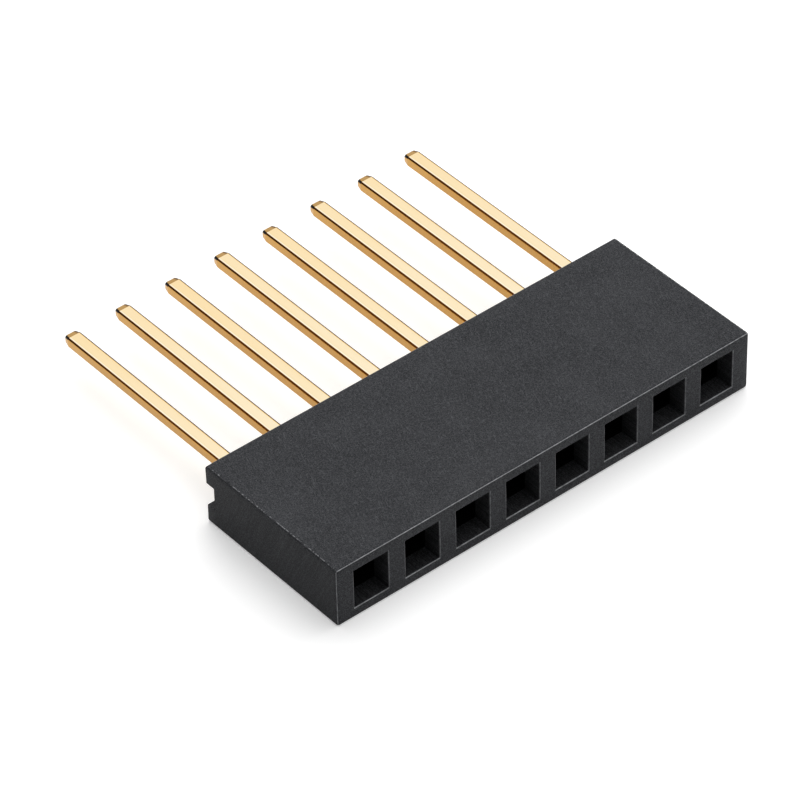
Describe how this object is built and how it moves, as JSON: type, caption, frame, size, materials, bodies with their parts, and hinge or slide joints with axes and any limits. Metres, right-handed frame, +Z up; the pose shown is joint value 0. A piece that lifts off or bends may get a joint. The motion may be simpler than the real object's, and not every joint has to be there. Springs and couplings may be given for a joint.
{
  "type": "female pin header strip",
  "caption": "Female pin header strip: a slim moulded housing with a row of square sockets in its front and long straight solder tails behind it.",
  "frame": {"origin": "centre of the housing's underside, which is the broad side that it lies on", "axes": "+X along the row of contacts, +Y from the mating face towards the solder tails, +Z up out of the housing's top"},
  "size_m": [0.0212, 0.019, 0.0029],
  "materials": {
    "housing_plastic": "black glass-filled thermoplastic, moulded with a fine matt grain",
    "contact_plating": "bright gold plating over formed strip"
  },
  "bodies": {
    "root": {"housing": "housing_plastic", "contact_1": "contact_plating", "contact_2": "contact_plating", "contact_3": "contact_plating", "contact_4": "contact_plating", "contact_5": "contact_plating", "contact_6": "contact_plating", "contact_7": "contact_plating", "contact_8": "contact_plating"}
  },
  "joints": []
}
